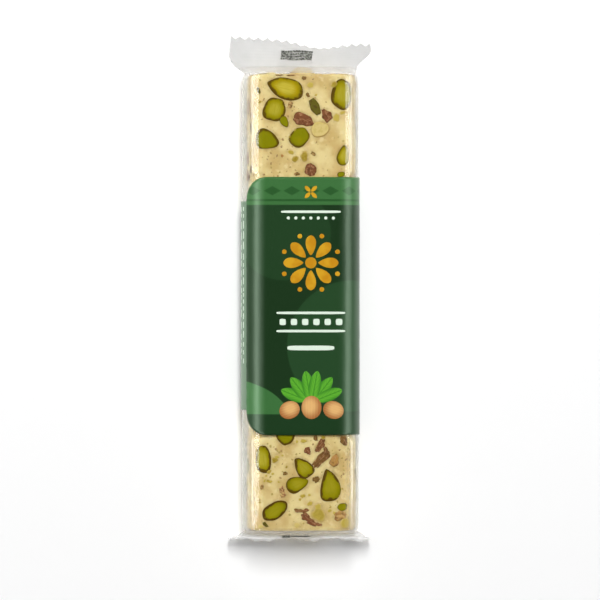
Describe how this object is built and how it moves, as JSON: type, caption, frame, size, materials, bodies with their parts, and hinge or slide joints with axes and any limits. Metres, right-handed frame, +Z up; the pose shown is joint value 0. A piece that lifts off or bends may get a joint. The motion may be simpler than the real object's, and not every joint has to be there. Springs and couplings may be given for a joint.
{
  "type": "nougat bar",
  "caption": "Long pistachio nougat bar sealed in clear flow-wrap film with crimped zigzag ends and a dark green printed band around its middle, lying on its back.",
  "frame": {"origin": "middle of the base, under the middle of the bounding box", "axes": "+Y along the bar towards the end whose seal stands out straight, +Z up out of the printed front face, the bar lying on its back"},
  "size_m": [0.046, 0.1636, 0.0182],
  "materials": {
    "film": "clear, slightly slack plastic film over pale cream nougat",
    "label": "satin dark green printed band",
    "nougat": "soft cream nougat, cut faces with fine pores",
    "pistachio": "cut yellow-green kernels with dark skins"
  },
  "bodies": {
    "root": {"wrapped_bar": "film", "label_band": "label"}
  },
  "joints": []
}
